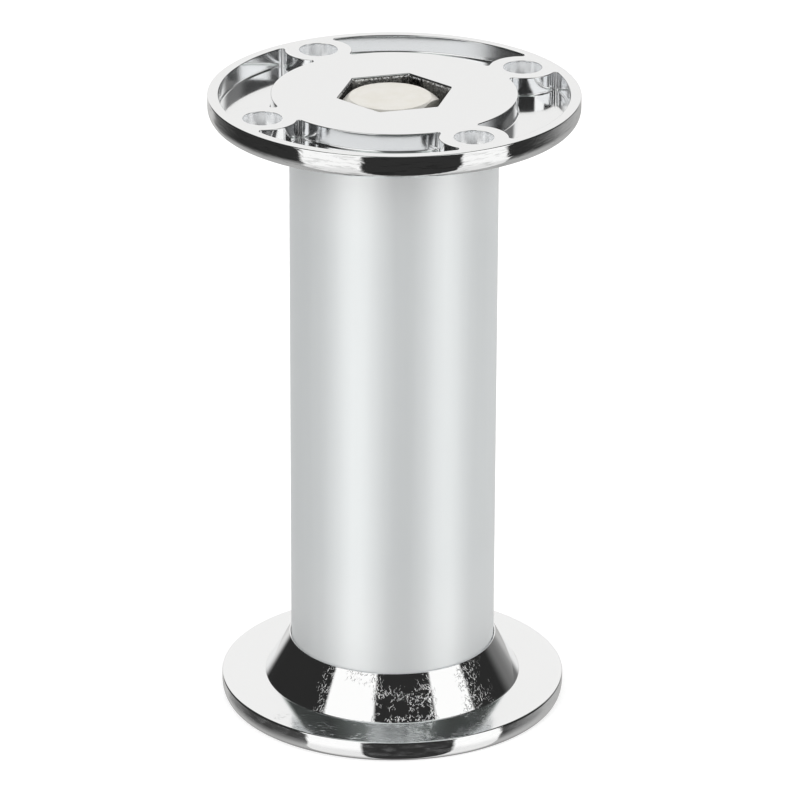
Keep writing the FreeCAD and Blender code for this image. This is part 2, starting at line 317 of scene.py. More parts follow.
def inside(point, outline):
    """True where a point lies inside a closed plan outline."""
    hit = False
    previous = outline[-1]
    for corner in outline:
        if (corner.y > point.y) != (previous.y > point.y):
            run = (previous.x - corner.x) * (point.y - corner.y) / (previous.y - corner.y)
            if point.x < corner.x + run:
                hit = not hit
        previous = corner
    return hit


def oval_foot(across, level, depth, rise, steps):
    """Stations up a lower outer edge that curves in slowly, a quarter of an oval."""
    out = []
    for i in range(steps + 1):
        angle = math.radians(90 - 90 * i / steps)
        point = Vector((across - depth * (1 - math.cos(angle)),
                        level + rise * (1 - math.sin(angle))))
        normal = Vector((math.cos(angle) / depth, -math.sin(angle) / rise)).normalized()
        out.append((point, normal, normal))
    return out


def circle_outline(steps, centre=(0.0, 0.0)):
    """A plan outline that takes its radius from the section."""
    def outline(radius):
        return arc_points(centre, radius, 0.0, 2 * math.pi, steps)[:-1]
    return outline


def drop_section(top, floor, lip, foot, spread=0.0, draft=0.0):
    """Stations for the wall of a sunk shape: worn upper edge, drafted wall and rounded foot."""
    lean = math.radians(draft)
    wall = Vector((-math.cos(lean), math.sin(lean)))
    stations = []
    for i in range(ROUND_STEPS + 1):
        angle = math.pi / 2 + (lean - math.pi / 2) * i / ROUND_STEPS
        way = Vector((-math.cos(angle), math.sin(angle)))
        across = spread + lip * (1 - math.cos(angle))
        stations.append((Vector((across, top - lip * (1 - math.sin(angle)))), way, way))
    start = stations[-1][0]
    if foot <= 0:
        drop = start.y - floor
        end = Vector((start.x - drop * math.tan(lean), floor))
        stations.append((end, wall, wall))
        return stations
    low = floor + foot * (1 - math.sin(lean))
    across = start.x - (start.y - low) * math.tan(lean)
    centre = Vector((across, low)) + wall * foot
    for i in range(ROUND_STEPS + 1):
        angle = lean + (math.pi / 2 - lean) * i / ROUND_STEPS
        way = Vector((-math.cos(angle), math.sin(angle)))
        stations.append((centre - way * foot, way, way))
    return stations


def recess_outline(middle):
    """The sunk sector between two screw bosses, grown or shrunk by the section's offset."""
    half_step = math.pi / SCREW_COUNT
    corner = RECESS_CORNER_RADIUS

    def tangent_angle(reach):
        """Angle off the boss's direction of a corner round whose centre lies at this reach."""
        gap = SCREW_BOSS_RADIUS + corner
        squares = reach ** 2 + SCREW_CIRCLE_RADIUS ** 2 - gap ** 2
        return half_step - math.acos(squares / (2 * reach * SCREW_CIRCLE_RADIUS))

    outer_reach = RIM_INNER_RADIUS - corner
    inner_reach = DISC_RADIUS + corner
    outer = tangent_angle(outer_reach)
    inner = tangent_angle(inner_reach)

    def heading(a, b):
        return math.atan2((b - a).y, (b - a).x)

    def outline(offset):
        """Positive offsets move the wall outwards, away from the middle of the recess."""
        parts = []
        for side in (1, -1):
            boss = toward(middle + side * half_step) * SCREW_CIRCLE_RADIUS
            outer_corner = toward(middle + side * outer) * outer_reach
            inner_corner = toward(middle + side * inner) * inner_reach
            to_outer = heading(boss, outer_corner)
            to_inner = heading(boss, inner_corner)
            outer_round = short_arc(outer_corner, corner + offset, middle + side * outer,
                                    to_outer + math.pi, RECESS_CORNER_STEPS)
            boss_wall = short_arc(boss, SCREW_BOSS_RADIUS - offset, to_outer, to_inner,
                                  RECESS_BOSS_STEPS)
            boss_wall = [(p, -n) for p, n in boss_wall]
            inner_round = short_arc(inner_corner, corner + offset, to_inner + math.pi,
                                    middle + side * inner + math.pi, RECESS_CORNER_STEPS)
            parts.append(outer_round + boss_wall[1:-1] + inner_round)
        left, right = parts
        rim = arc_points((0, 0), RIM_INNER_RADIUS + offset, middle - outer, middle + outer,
                         RECESS_RIM_STEPS)
        disc = arc_points((0, 0), DISC_RADIUS - offset, middle + inner, middle - inner,
                          RECESS_DISC_STEPS)
        disc = [(p, -n) for p, n in disc]
        return rim[1:-1] + left + disc[1:-1] + right[::-1]
    return outline


def hexagon_outline(flats, corner):
    """A hexagon with small corner rounds and two flats square to X, grown by the offset."""
    half_side = math.pi / 6
    reach = (flats / 2 - corner) / math.cos(half_side)

    def outline(offset):
        plan = []
        for i in range(6):
            angle = math.radians(30 + 60 * i)
            centre = toward(angle) * reach
            plan += arc_points(centre, corner + offset, angle - half_side, angle + half_side,
                               POCKET_CORNER_STEPS)
        return plan
    return outline


def add_recess(shell, middle):
    """One sunk sector of the plate; returns the ring of its lip."""
    section = drop_section(LEG_HEIGHT, LEG_HEIGHT - RECESS_DEPTH, EDGE_WEAR, RECESS_FLOOR_RADIUS,
                           draft=RECESS_DRAFT)
    lip, floor = shell.sweep(recess_outline(middle), section)
    shell.fill(floor, [], UP)
    return lip


def add_screw_hole(shell, turn, under):
    """One screw hole through the plate; returns the rings of its upper and its lower lip."""
    centre = (SCREW_CIRCLE_RADIUS * math.cos(turn), SCREW_CIRCLE_RADIUS * math.sin(turn))
    section = drop_section(LEG_HEIGHT, under + EDGE_WEAR, SCREW_HOLE_WEAR, 0, SCREW_HOLE_RADIUS)
    for i in range(1, HOLE_LIP_STEPS + 1):
        angle = math.pi / 2 * i / HOLE_LIP_STEPS
        way = -toward(angle)
        point = Vector((SCREW_HOLE_RADIUS + EDGE_WEAR * (1 - math.cos(angle)),
                        under + EDGE_WEAR * (1 - math.sin(angle))))
        section.append((point, way, way))
    return shell.sweep(circle_outline(HOLE_STEPS, centre), section)


def build_plate(material):
    """The mounting plate: rim, sunk sectors, screw holes and pocket above, spigot below."""
    shell = Shell()
    top = LEG_HEIGHT
    under = top - PLATE_THICKNESS
    spigot_end = under - PLATE_SPIGOT_LENGTH
    hub_end = top - POCKET_DEPTH - POCKET_FLOOR
    round_plan = circle_outline(TURN_STEPS)

    edge = oval_foot(PLATE_RADIUS, under, PLATE_CURVE_DEPTH, PLATE_CURVE_RISE, PLATE_CURVE_STEPS)
    edge += rounded_profile([
        (PLATE_RADIUS, under, 0), (PLATE_RADIUS, top, PLATE_EDGE_WEAR), (RIM_INNER_RADIUS, top, 0),
    ], closed=False)[1:-1]
    under_rim, top_rim = shell.sweep(round_plan, edge)

    bolt_hole, spigot_root = shell.sweep(round_plan, rounded_profile([
        (BOLT_HOLE_RADIUS, top - POCKET_DEPTH, 0), (BOLT_HOLE_RADIUS, hub_end, 0),
        (PLATE_SPIGOT_BORE, hub_end, PLATE_HUB_ROUND),
        (PLATE_SPIGOT_BORE, spigot_end, PLATE_SPIGOT_BORE_ROUND),
        (PLATE_SPIGOT_RADIUS, spigot_end, PLATE_SPIGOT_ROUND), (PLATE_SPIGOT_RADIUS, under, 0),
    ], closed=False))

    top_holes = []
    under_holes = []
    for i in range(SCREW_COUNT):
        middle = 2 * math.pi * i / SCREW_COUNT
        top_holes.append(add_recess(shell, middle))
        upper, lower = add_screw_hole(shell, middle + math.pi / SCREW_COUNT, under)
        top_holes.append(upper)
        under_holes.append(lower)

    lip, floor = shell.sweep(hexagon_outline(POCKET_FLATS, POCKET_CORNER_RADIUS), drop_section(
        top, top - POCKET_DEPTH, POCKET_EDGE_WEAR, 0, draft=POCKET_DRAFT))
    shell.fill(floor, [bolt_hole], UP)
    top_holes.append(lip)

    shell.fill(top_rim, top_holes, UP)
    shell.fill(under_rim, under_holes + [spigot_root], DOWN)
    return shell.build("chromed_plate", material, "mounting_plate")


def build_tube(material):
    """The plain tube between the base's seat and the plate."""
    shell = Shell()
    end = LEG_HEIGHT - PLATE_THICKNESS
    shell.sweep(circle_outline(TURN_STEPS), rounded_profile([
        (TUBE_RADIUS, SEAT_HEIGHT, TUBE_END_ROUND), (TUBE_RADIUS, end, TUBE_END_ROUND),
        (TUBE_BORE_RADIUS, end, 0), (TUBE_BORE_RADIUS, SEAT_HEIGHT, 0),
    ]), closed=True)
    return shell.build("anodised_tube", material, "tube")


def build_base(material):
    """The base: flange, collar, tube socket and spigot, with the nut well and ribs underneath."""
    shell = Shell()
    corner = (BASE_RADIUS, 0, 0)
    section = rounded_profile([
        (WELL_RADIUS, 0, FOOT_ROUND), (SOCKET_RADIUS, 0, FOOT_ROUND),
        (SOCKET_RADIUS, HOLLOW_DEPTH, HOLLOW_ROUND), (HOLLOW_RADIUS, HOLLOW_DEPTH, HOLLOW_ROUND),
        (HOLLOW_RADIUS, 0, FOOT_ROUND), corner, (BASE_RADIUS, FLANGE_THICKNESS, FLANGE_ROUND),
        (COLLAR_FOOT_RADIUS, FLANGE_THICKNESS, COLLAR_FOOT_ROUND),
        (COLLAR_LIP_RADIUS, COLLAR_TOP, COLLAR_LIP_ROUND),
        (SOCKET_RADIUS, COLLAR_TOP, SOCKET_LIP_ROUND), (SOCKET_RADIUS, SEAT_HEIGHT, 0),
        (PLATE_SPIGOT_RADIUS, SEAT_HEIGHT, 0),
        (PLATE_SPIGOT_RADIUS, BASE_SPIGOT_TOP, BASE_SPIGOT_ROUND),
        (BOLT_HOLE_RADIUS, BASE_SPIGOT_TOP, 0), (BOLT_HOLE_RADIUS, WELL_DEPTH, BOLT_HOLE_ROUND),
        (WELL_RADIUS, WELL_DEPTH, WELL_ROUND),
    ])
    at = [station[0] for station in section].index(Vector(corner[:2]))
    section[at:at + 1] = oval_foot(BASE_RADIUS, 0, FOOT_CURVE_DEPTH, FOOT_CURVE_RISE,
                                   FOOT_CURVE_STEPS)
    shell.sweep(circle_outline(TURN_STEPS), section, closed=True)
    for i in range(RIB_COUNT):
        add_rib(shell, 2 * math.pi * i / RIB_COUNT)
    return shell.build("chromed_base", material, "base")


def add_rib(shell, angle):
    """A short rib across the hollow: a closed bar with a rounded free edge, sunk into the walls."""
    half = RIB_WIDTH / 2
    roof = HOLLOW_DEPTH + RIB_SINK
    section = rounded_profile([
        (-half, roof, 0), (-half, RIB_SETBACK, RIB_ROUND),
        (half, RIB_SETBACK, RIB_ROUND), (half, roof, 0),
    ])
    along = toward(angle).to_3d()
    aside = UP.cross(along)
    rows = []
    for reach in (SOCKET_RADIUS - RIB_SINK, HOLLOW_RADIUS + RIB_SINK):
        rows.append(shell.ring([along * reach + aside * p.x + UP * p.y for p, b, a in section]))
    for i in range(len(section)):
        j = (i + 1) % len(section)
        leaving = aside * section[i][2].x + UP * section[i][2].y
        arriving = aside * section[j][1].x + UP * section[j][1].y
        shell.face([rows[0][i], rows[0][j], rows[1][j], rows[1][i]],
                   [leaving, arriving, arriving, leaving])
    for row, way in zip(rows, (-along, along)):
        shell.face(row, [way] * len(row))


def hexagon_block(shell, flats, face_radius, low, high, turn=0.0, bore=0.0, neck=0.0):
    """A bored nut bevelled on both faces, or a bolt's head above a neck.

    Returns the ring round the neck, and None for a nut.
    """
    per_side = HEXAGON_STEPS // 6
    count = HEXAGON_STEPS
    bevel = math.radians(HEXAGON_BEVEL)
    ways = []
    reaches = []
    sides = []
    for i in range(count):
        off = math.radians(-30 + 60 * (i % per_side) / per_side)
        face = math.radians(60 * (i // per_side) + turn)
        ways.append(toward(face + off).to_3d())
        reaches.append(flats / 2 / math.cos(off))
        sides.append(toward(face).to_3d())

    def bevelled(level, inward):
        """The round face's edge, the bevel and the ring where it meets the flats."""
        inner = shell.ring([d * face_radius + UP * level for d in ways])
        drops = [(r - face_radius) * math.tan(bevel) * inward for r in reaches]
        outer = shell.ring([d * r + UP * (level + k) for d, r, k in zip(ways, reaches, drops)])
        cone = [d * math.sin(bevel) - UP * inward * math.cos(bevel) for d in ways]
        shell.band(inner, outer, cone, cone)
        return inner, outer

    top_face, top_edge = bevelled(high, -1)
    if bore:
        low_face, low_edge = bevelled(low, 1)
    else:
        low_edge = shell.ring([d * r + UP * low for d, r in zip(ways, reaches)])
    for i in range(count):
        j = (i + 1) % count
        shell.face([low_edge[i], low_edge[j], top_edge[j], top_edge[i]], [sides[i]] * 4)
    if bore:
        wide = bore + NUT_CHAMFER
        wall, slant_down, slant_up = Vector((-1, 0)), Vector((-0.7, -0.7)), Vector((-0.7, 0.7))
        lower, upper = shell.sweep(circle_outline(HOLE_STEPS), [
            (Vector((wide, low)), slant_down, slant_down),
            (Vector((bore, low + NUT_CHAMFER)), slant_down, wall),
            (Vector((bore, high - NUT_CHAMFER)), wall, slant_up),
            (Vector((wide, high)), slant_up, slant_up),
        ])
        shell.fill(low_face, [lower], DOWN)
        shell.fill(top_face, [upper], UP)
        return None
    neck_ring = shell.ring([d * neck + UP * low for d in ways])
    shell.band(neck_ring, low_edge, [DOWN] * count, [DOWN] * count)
    shell.fill(top_face, [], UP)
    return neck_ring


def build_bolt(material):
    """The bolt, from its bevelled head down to the threaded end."""
    shell = Shell()
    seat = LEG_HEIGHT - POCKET_DEPTH
    neck = hexagon_block(shell, HEAD_FLATS, HEAD_FACE_RADIUS, seat, seat + HEAD_HEIGHT,
                         turn=HEAD_TURN, neck=BOLT_RADIUS)
    thread_end, ways = add_thread(shell, math.radians(HEAD_TURN - 30))
    shell.band(thread_end, neck, ways, ways)
    shell.shift(BOLT_LEAN)
    return shell.build("zinc_bolt", material, "tie_bolt")


def add_thread(shell, start):
    """A single-start thread with a bevelled end; returns the ring where it fades into the shank."""
    around = HEXAGON_STEPS
    rows = int((THREAD_TOP - BOLT_END) / THREAD_PITCH * THREAD_STEPS_PER_TURN)
    tip = BOLT_RADIUS - BOLT_TIP_BEVEL

    def reach(angle, level):
        """The thread's distance from the axis, within the bevel at the bolt's end."""
        phase = (level / THREAD_PITCH - angle / (2 * math.pi)) % 1.0
        tooth = min(1.0, max(0.0, abs(phase - 0.5) * 2 * THREAD_FLANK - THREAD_FLAT))
        fade = min(1.0, (THREAD_TOP - level) / THREAD_PITCH)
        threaded = BOLT_RADIUS - THREAD_DEPTH * tooth * fade
        return min(threaded, tip + (level - BOLT_END))

    angles = [start + 2 * math.pi * i / around for i in range(around)]
    ways = [toward(angle).to_3d() for angle in angles]
    grid = []
    for k in range(rows + 1):
        level = BOLT_END + (THREAD_TOP - BOLT_END) * k / rows
        grid.append([way * reach(angle, level) + UP * level for angle, way in zip(angles, ways)])
    normals = []
    for k, row in enumerate(grid):
        above = grid[min(k + 1, rows)]
        below = grid[max(k - 1, 0)]
        normals.append([(row[(i + 1) % around] - row[i - 1]).cross(above[i] - below[i])
                        for i in range(around)])
    rings = [shell.ring(row) for row in grid]
    for k in range(rows):
        shell.band(rings[k], rings[k + 1], normals[k], normals[k + 1])
    shell.fill(rings[0], [], DOWN)
    return rings[-1], ways


def build_washer(material):
    """The washer under the roof of the nut well."""
    shell = Shell()
    low = WELL_DEPTH - WASHER_THICKNESS
    shell.sweep(circle_outline(WASHER_STEPS), rounded_profile([
        (WASHER_BORE, low, WASHER_BORE_ROUND), (WASHER_RADIUS, low, WASHER_EDGE_ROUND),
        (WASHER_RADIUS, WELL_DEPTH, WASHER_EDGE_ROUND),
        (WASHER_BORE, WELL_DEPTH, WASHER_BORE_ROUND),
    ]), closed=True)
    shell.shift(BOLT_LEAN)
    return shell.build("zinc_washer", material, "washer")


def build_nut(material):
    """The nut below the washer."""
    shell = Shell()
    top = WELL_DEPTH - WASHER_THICKNESS
    hexagon_block(shell, NUT_FLATS, NUT_FACE_RADIUS, top - NUT_HEIGHT, top, bore=NUT_BORE_RADIUS)
    shell.shift(BOLT_LEAN)
    return shell.build("zinc_nut", material, "hex_nut")


class Nodes:
    """A short way to write a shader tree."""

    def __init__(self, owner):
        owner.use_nodes = True
        self.tree = owner.node_tree
        self.tree.nodes.clear()

    def add(self, kind, inputs=None, **settings):
        """Adds a node; an input is a value or the socket that feeds it."""
        node = self.tree.nodes.new(kind)
        for key, value in settings.items():
            setattr(node, key, value)
        for key, value in (inputs or {}).items():
            if isinstance(value, bpy.types.NodeSocket):
                self.tree.links.new(value, node.inputs[key])
            else:
                node.inputs[key].default_value = value
        return node

    def math(self, operation, *values, clamp=False):
        node = self.add("ShaderNodeMath", dict(enumerate(values)),
                        operation=operation, use_clamp=clamp)
        return node.outputs[0]

    def product(self, first, *others):
        for other in others:
            first = self.math("MULTIPLY", first, other)
        return first

    def total(self, start, *parts):
        """A start value with shares added to it; each part is (mask, share)."""
        for mask, share in parts:
            start = self.math("MULTIPLY_ADD", mask, share, start)
        return start

    def ramp(self, value, low, high, to_low=0.0, to_high=1.0, kind="SMOOTHSTEP"):
        """A fade from one level at the low value to another at the high one."""
        node = self.add("ShaderNodeMapRange", {
            "Value": value, "From Min": low, "From Max": high, "To Min": to_low, "To Max": to_high,
        }, interpolation_type=kind)
        return node.outputs["Result"]

    def over(self, level, mask, value):
        """A level with another one laid over it where the mask is 1."""
        return self.add("ShaderNodeMix", {"Factor": mask, "A": level, "B": value}).outputs[0]

    def tint(self, tone, *layers):
        """A colour with others laid over it; each layer is (mask, colour)."""
        for mask, colour in layers:
            tone = self.add("ShaderNodeMix", {
                "Factor": mask, "A": tone, "B": (*colour, 1.0),
            }, data_type="RGBA").outputs["Result"]
        return tone


class Finish(Nodes):
    """The shader tree of one metal's surface, laid out by the place on the piece."""

    def __init__(self, name):
        self.material = bpy.data.materials.new(name)
        super().__init__(self.material)
        self.place = self.add("ShaderNodeTexCoord").outputs["Object"]

    def axes(self):
        """The place's X, Y and Z."""
        return tuple(self.add("ShaderNodeSeparateXYZ", {0: self.place}).outputs)

    def fade(self, distance, low, high, *levels):
        """A ramp over a distance, with its ends in millimetres."""
        return self.ramp(distance, low * MM, high * MM, *levels)

    def drawn_out(self, scale, turn=0.0):
        """The place squeezed or drawn out along each axis, for marks that lie one way."""
        return self.add("ShaderNodeMapping", {
            "Vector": self.place, "Rotation": (0.0, 0.0, -math.radians(turn)), "Scale": scale,
        }).outputs[0]

    def noise(self, scale, detail=2.0, roughness=0.5, distortion=0.0, cut=None, at=None,
              output="Fac"):
        """Soft noise, or the spots that a ramp cuts out of it, at the place or a drawn out one."""
        value = self.add("ShaderNodeTexNoise", {
            "Vector": self.place if at is None else at, "Scale": scale, "Detail": detail,
            "Roughness": roughness, "Distortion": distortion,
        }).outputs[output]
        return self.ramp(value, *cut) if cut else value

    def done(self, tone, metallic, roughness, height, relief):
        """Joins the finished values; the relief is the bump's strength and its depth."""
        bump = self.add("ShaderNodeBump", {
            "Height": height, "Strength": relief[0], "Distance": relief[1] * MM,
        })
        shader = self.add("ShaderNodeBsdfPrincipled", {
            "Base Color": tone, "Metallic": metallic,
            "Roughness": roughness, "Normal": bump.outputs[0],
        })
        self.add("ShaderNodeOutputMaterial", {"Surface": shader.outputs[0]})
        return self.material


# Parts of the castings with a finish of their own. Each pair of millimetres is a fade: the part's
# mask is 0 at the first and 1 at the second. Heights count from the floor, reaches from the axis.
PARTS = {
    "collar": {"heights": [(3.2, 3.6), (12.0, 9.7)]},
    "collar_foot": {"heights": [(8.8, 6.4)]},
    "collar_top": {"heights": [(7.8, 8.8)]},
    "flange_top": {"heights": [(3.6, 3.4), (2.9, 3.1)], "reaches": [(26.6, 26.2)]},
    "outer_edge": {"reaches": [(26.8, 26.95)]},
    "plate_edge": {"heights": [(96.2, 96.4), (99.9, 99.7)], "reaches": [(26.8, 26.95)]},
    "flange_edge": {"heights": [(3.1, 2.9)], "reaches": [(26.8, 26.95)]},
    # The base's foot, where a contact shadow is painted.
    "foot_contact_shadow": {"heights": [(0.8, 0.2)], "reaches": [(25.5, 25.8)]},
    "pocket": {"heights": [(99.9, 99.7), (85.0, 88.0)], "reaches": [(10.2, 9.8)]},
    "pocket_lip": {"heights": [(99.40, 99.52), (99.76, 99.68)]},
    "sunk": {"heights": [(99.9, 99.6), (80.0, 85.0)], "reaches": [(27.0, 26.8)]},
    "recess_wall": {"heights": [(97.25, 97.5)], "reaches": [(25.8, 26.3)]},
    "recess_floor": {"heights": [(97.4, 97.2)], "reaches": [(10.5, 11.5)]},
    "plate_underside": {"heights": [(96.3, 96.2), (85.0, 88.0)], "reaches": [(26.8, 26.2)]},
}
HOLE_FADE = (3.2, 3.05)
# The swell of the edges grows from the base up to the plate.
SWELL_GROWTH = (20.0, 90.0, 0.35, 0.8)
SWELL_LEAST = 0.08

# Stretches round the castings with marks: start and end, in degrees from -Y towards +X, and the
# strength of the marks. The first four are where the collar's metal froze last.
FLOW_FRONT = (6.0, 34.0, 0.7)
FLOW_RIGHT = (49.0, 70.0, 0.4)
FLOW_LEFT = (-26.0, -20.0, 0.25)
FLOW_TOP = (-12.0, 4.0, 0.45)
FLANGE_DASHES = (-32.0, 58.0, 0.35)
STRETCH_FADE = 3.0
STRETCH_WANDER = 10.0
FLOW_LEAST = 0.15

# The curled ridges: the edges of cells, so many to the metre, pushed about by so many millimetres.
FLOW_CELLS = 1350.0
FLOW_RIDGE = (0.10, 0.0)
FLOW_CURL_REACH = 1.4
FLOW_SPECK_HEIGHT = 0.6

# Noise: waves to the metre, and the ramp that cuts spots out of it.
WANDER = {"scale": 260.0}
FLOW_CURL = {"scale": 800.0}
FLOW_BREAKS = {"scale": 1700.0, "detail": 1.0, "cut": (0.45, 0.53)}
FLOW_SPECKS = {"scale": 3600.0, "detail": 1.0, "cut": (0.62, 0.72)}
FLOW_PATCHES = {"scale": 360.0, "cut": (0.36, 0.50)}
DASH_LINES = {"scale": 3400.0, "detail": 1.0, "distortion": 0.6, "cut": (0.60, 0.68)}
DASH_PATCHES = {"scale": 240.0, "cut": (0.48, 0.58)}
EDGE_SWELL = {"scale": 330.0, "roughness": 0.55, "distortion": 0.4}
EDGE_STREAKS = {
    "scale": 300.0, "detail": 3.0, "roughness": 0.6, "distortion": 0.3, "cut": (0.50, 0.70)}
EDGE_MOTTLE = {
    "scale": 420.0, "detail": 3.0, "roughness": 0.6, "distortion": 0.5, "cut": (0.42, 0.66)}
CAST_RIPPLE = {"scale": 900.0, "distortion": 0.3}
POCKET_GRAIN = {"scale": 2200.0}
# Painted shade in the bolt's pocket, laid on in the speckles of a cast texture.
POCKET_SHADE_SPECKLE = {
    "scale": 2400.0, "detail": 3.0, "roughness": 0.7, "cut": (0.42, 0.60, 0.75, 0.10)}
BARE_SPOTS = {"scale": 2300.0, "cut": (0.45, 0.58)}
CHROME_HAZE = {"scale": 60.0, "detail": 3.0, "cut": (0.3, 0.75, 0.035, 0.06)}

# How noise is drawn out along X, Y and Z.
DASH_TURN = 14.05
ALONG_DASHES = (0.22, 1.0, 1.0)
ALONG_EDGE = (1.0, 1.0, 3.2)
FAR_ALONG_EDGE = (1.0, 1.0, 9.0)

# What each mark or part adds: to the relief, to the roughness and to the metallic value.
RELIEF_SHARES = {"ripple": 0.04, "grain": 1.5, "swell": 0.9, "streak": 0.04}
HAZE_SHARES = {
    "sunk": 0.07, "hole": 0.10, "recess_floor": -0.03, "flange_top": 0.07, "plate_underside": 0.25}
METAL_SHARES = {"hole": -0.35, "recess_wall": -0.05, "mottle": -0.05, "bare": -0.6}
STREAK_SMEAR = 0.8
EDGE_SMEAR = 0.15
FOOT_SHADOW_STRENGTH = 0.8

CHROME_TONE = (0.925, 0.935, 0.945)
STREAK_TONE = (0.62, 0.63, 0.635)
# Painted shade: the darker tone of the plate's underside and spigot.
UNDERSIDE_SHADE_TONE = (0.66, 0.67, 0.675)
# Painted shade: the dark tone that the pocket's walls and floor are darkened towards.
POCKET_SHADE_TONE = (0.24, 0.24, 0.235)
FOOT_SHADOW_TONE = (0.42, 0.42, 0.425)
BARE_TONE = (0.85, 0.86, 0.87)
CHROME_RELIEF = (1.0, 0.04)


class Chrome(Finish):
    """Bright plating over a casting: mirror-like outside, duller in the recesses and holes."""

    def __init__(self):
        super().__init__("bright_chrome")
        x, y, self.height = self.axes()
        self.flat = self.add("ShaderNodeCombineXYZ", {0: x, 1: y}).outputs[0]
        length = self.add("ShaderNodeVectorMath", {0: self.flat}, operation="LENGTH")
        self.reach = length.outputs["Value"]
        side = self.math("DEGREES", self.math("ARCTAN2", x, self.math("MULTIPLY", y, -1.0)))
        side = self.math("SUBTRACT", side, STRETCH_WANDER / 2)
        self.side = self.total(side, (self.noise(**WANDER), STRETCH_WANDER))
        self.parts = {name: self.part(**fades) for name, fades in PARTS.items()}

    def part(self, heights=(), reaches=()):
        """The mask of one part of the castings."""
        return self.product(*(self.fade(self.height, *ends) for ends in heights),
                            *(self.fade(self.reach, *ends) for ends in reaches))

    def stretch(self, start, end, amount):
        """The mask of one stretch round the castings, with soft, wandering ends."""
        return self.product(self.ramp(self.side, start - STRETCH_FADE, start + STRETCH_FADE),
                            self.ramp(self.side, end + STRETCH_FADE, end - STRETCH_FADE), amount)

    def flow_marks(self):
        """Short curled ridges and specks on the collar, thickest near the front of its foot."""
        curl = self.noise(**FLOW_CURL, output="Color")
        bent = self.add("ShaderNodeVectorMath", {
            0: curl, 1: (FLOW_CURL_REACH * MM,) * 3, 2: self.place,
        }, operation="MULTIPLY_ADD").outputs[0]
        cells = self.add("ShaderNodeTexVoronoi", {"Vector": bent, "Scale": FLOW_CELLS},
                         feature="DISTANCE_TO_EDGE")
        ridge = self.product(self.ramp(cells.outputs["Distance"], *FLOW_RIDGE),
                             self.noise(**FLOW_BREAKS))
        specks = self.product(self.noise(**FLOW_SPECKS), FLOW_SPECK_HEIGHT)
        ridge = self.math("MAXIMUM", ridge, specks)
        foot = self.total(FLOW_LEAST, (self.parts["collar_foot"], 1.0 - FLOW_LEAST))
        where = self.product(self.stretch(*FLOW_FRONT), foot)
        where = self.math("ADD", where, self.stretch(*FLOW_RIGHT))
        where = self.math("ADD", where, self.stretch(*FLOW_LEFT))
        where = self.total(where, (self.stretch(*FLOW_TOP), self.parts["collar_top"]))
        return self.product(self.parts["collar"], where, self.noise(**FLOW_PATCHES), ridge)

    def dashes(self):
        """Fine dashes on the flange in front of the collar."""
        lines = self.noise(**DASH_LINES, at=self.drawn_out(ALONG_DASHES, DASH_TURN))
        return self.product(lines, self.noise(**DASH_PATCHES), self.stretch(*FLANGE_DASHES))

    def screw_holes(self):
        """The mask of the four screw holes' walls."""
        holes = 0.0
        for i in range(SCREW_COUNT):
            way = toward(2 * math.pi * (i + 0.5) / SCREW_COUNT).to_3d()
            centre = way * SCREW_CIRCLE_RADIUS * MM
            gap = self.add("ShaderNodeVectorMath", {0: self.flat, 1: centre}, operation="DISTANCE")
            near = self.fade(gap.outputs["Value"], *HOLE_FADE)
            holes = self.math("MAXIMUM", holes, near)
        return self.product(holes, self.parts["sunk"])


def chrome_material():
    """The marks, the dulled parts and the tones of the chrome, with painted shade in the pocket,
    under the plate and at the base's foot, joined into its material.
    """
    finish = Chrome()
    masks = finish.parts
    masks["hole"] = finish.screw_holes()
    plain = finish.math("SUBTRACT", 1.0, masks["hole"])
    for name in ("recess_wall", "recess_floor"):
        masks[name] = finish.product(masks[name], masks["sunk"], plain)

    # Soft ripples and streaks run along the edges of the two flanges.
    along = finish.drawn_out(ALONG_EDGE)
    growth = finish.fade(finish.height, *SWELL_GROWTH)
    masks["swell"] = finish.product(finish.noise(**EDGE_SWELL, at=along),
                                    finish.total(SWELL_LEAST, (masks["outer_edge"], growth)))
    masks["streak"] = finish.product(
        finish.noise(**EDGE_STREAKS, at=finish.drawn_out(FAR_ALONG_EDGE)), masks["plate_edge"])
    masks["mottle"] = finish.product(finish.noise(**EDGE_MOTTLE, at=along), masks["flange_edge"])
    # A fine ripple lies all over, a coarser grain in the pocket, and bare spots below its lip.
    masks["ripple"] = finish.noise(**CAST_RIPPLE)
    masks["grain"] = finish.product(finish.noise(**POCKET_GRAIN), masks["pocket"])
    masks["bare"] = finish.product(masks["pocket_lip"], finish.noise(**BARE_SPOTS),
                                   masks["pocket"])

    def shares(start, table):
        """A start value with every share of a table added."""
        return finish.total(start, *((masks[name], share) for name, share in table.items()))

    marks = finish.total(finish.flow_marks(), (finish.dashes(), masks["flange_top"]))
    relief = shares(marks, RELIEF_SHARES)
    haze = shares(finish.noise(**CHROME_HAZE), HAZE_SHARES)
    metal = shares(1.0, METAL_SHARES)
    smear = finish.math("MULTIPLY_ADD", masks["streak"], STREAK_SMEAR,
                        finish.product(masks["plate_edge"], EDGE_SMEAR), clamp=True)
    # Painted shade in the pocket: its walls and floor are darkened in speckles, a cast texture laid
    # over the shade that falls there.
    pocket_shade_speckle = finish.product(finish.noise(**POCKET_SHADE_SPECKLE), masks["pocket"])
    tone = finish.tint(
        # Painted shade under the plate: its underside and spigot are darkened.
        (*CHROME_TONE, 1.0), (smear, STREAK_TONE), (masks["plate_underside"], UNDERSIDE_SHADE_TONE),
        (pocket_shade_speckle, POCKET_SHADE_TONE),
        # Painted shadow: the base's foot is darkened where it stands on the table.
        (finish.product(masks["foot_contact_shadow"], FOOT_SHADOW_STRENGTH), FOOT_SHADOW_TONE),
        (masks["bare"], BARE_TONE))
    return finish.done(tone, metal, haze, relief, CHROME_RELIEF)
